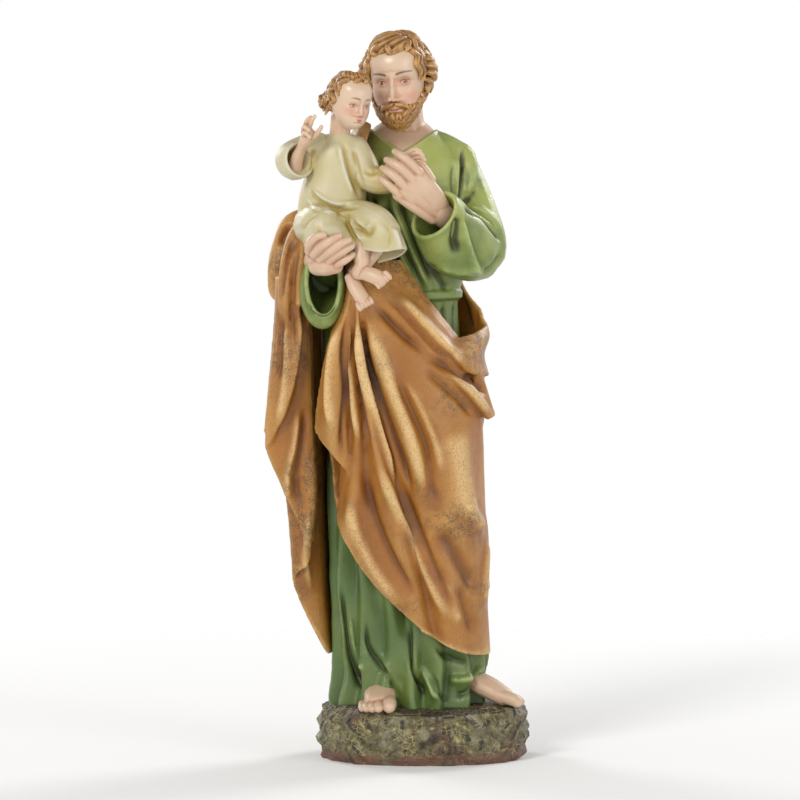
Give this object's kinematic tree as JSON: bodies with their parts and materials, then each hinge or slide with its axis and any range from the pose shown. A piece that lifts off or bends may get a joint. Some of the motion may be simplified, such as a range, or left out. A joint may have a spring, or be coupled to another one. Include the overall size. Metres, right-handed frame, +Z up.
{
  "type": "statue",
  "caption": "Painted cast statue of a standing robed saint holding a child on one arm, on a low rough rock base.",
  "frame": {"origin": "centre of the base's flat underside", "axes": "+Z up along the figure, +X to the viewer's right as seen from the front, the figures face -Y"},
  "size_m": [0.1089, 0.083, 0.2994],
  "materials": {
    "painted_casting": "satin painted cast resin",
    "robe_green": "satin olive green paint on cast resin, darker in the folds",
    "mantle_ochre": "satin ochre paint on cast resin, with a dark wash and dry-brushed ridges",
    "tunic_cream": "satin cream paint on cast resin, with a golden wash",
    "skin": "satin skin-toned paint on cast resin",
    "hair": "satin brown paint on cast resin",
    "rock": "dull mottled grey, green and brown paint on cast resin"
  },
  "bodies": {
    "root": {"statue": "painted_casting"}
  },
  "joints": []
}
